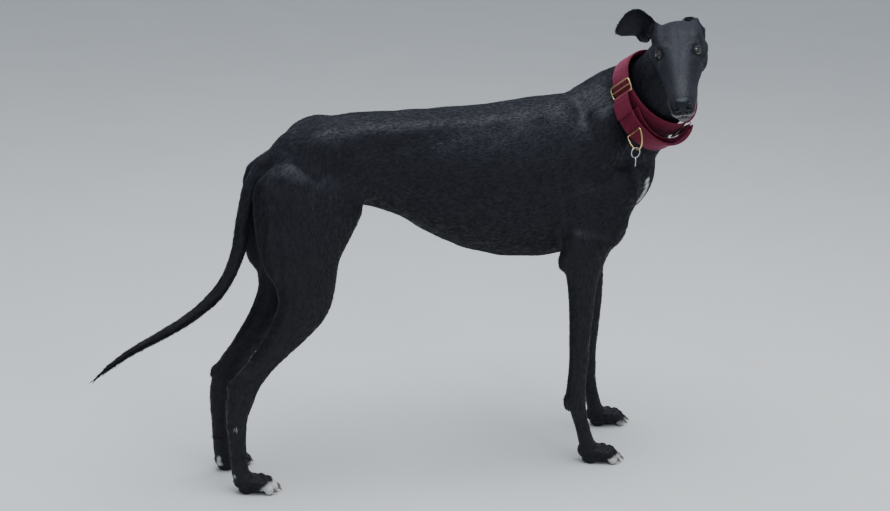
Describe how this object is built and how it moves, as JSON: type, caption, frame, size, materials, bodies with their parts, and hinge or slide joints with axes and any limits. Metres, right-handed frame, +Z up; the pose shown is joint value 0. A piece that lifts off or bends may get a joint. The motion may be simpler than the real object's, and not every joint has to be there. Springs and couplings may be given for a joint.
{
  "type": "greyhound",
  "caption": "Standing life-size greyhound with its head turned to its right, short black coat, white-tipped toes and a wide fabric collar with a ring and a blank tag.",
  "frame": {"origin": "bottom centre of the bounding box, on the floor under the dog", "axes": "+X towards the dog's breast, along its trunk; +Y towards its left side; +Z up"},
  "size_m": [1.1405, 0.4452, 0.9033],
  "materials": {
    "coat": "short smooth black fur",
    "nose_leather": "pebbled, slightly moist",
    "eye": "wet, dark amber",
    "webbing": "woven burgundy nylon",
    "gilt": "polished",
    "steel": "polished"
  },
  "bodies": {
    "root": {"head": "coat", "nose": "nose_leather", "eye_right": "eye", "eye_left": "eye", "ear_right": "coat", "ear_left": "coat", "neck": "coat", "chest": "coat", "loin": "coat", "rump": "coat", "tail_base": "coat", "tail_middle": "coat", "tail_tip": "coat", "forearm_right": "coat", "pastern_fore_right": "coat", "paw_fore_right": "coat", "forearm_left": "coat", "pastern_fore_left": "coat", "paw_fore_left": "coat", "thigh_right": "coat", "shank_right": "coat", "hock_right": "coat", "paw_hind_right": "coat", "thigh_left": "coat", "shank_left": "coat", "hock_left": "coat", "paw_hind_left": "coat", "collar_band": "webbing", "collar_loop": "webbing", "collar_slide": "gilt", "collar_throat_ring": "steel", "d_ring": "gilt", "split_ring": "steel", "tag": "steel"}
  },
  "joints": []
}
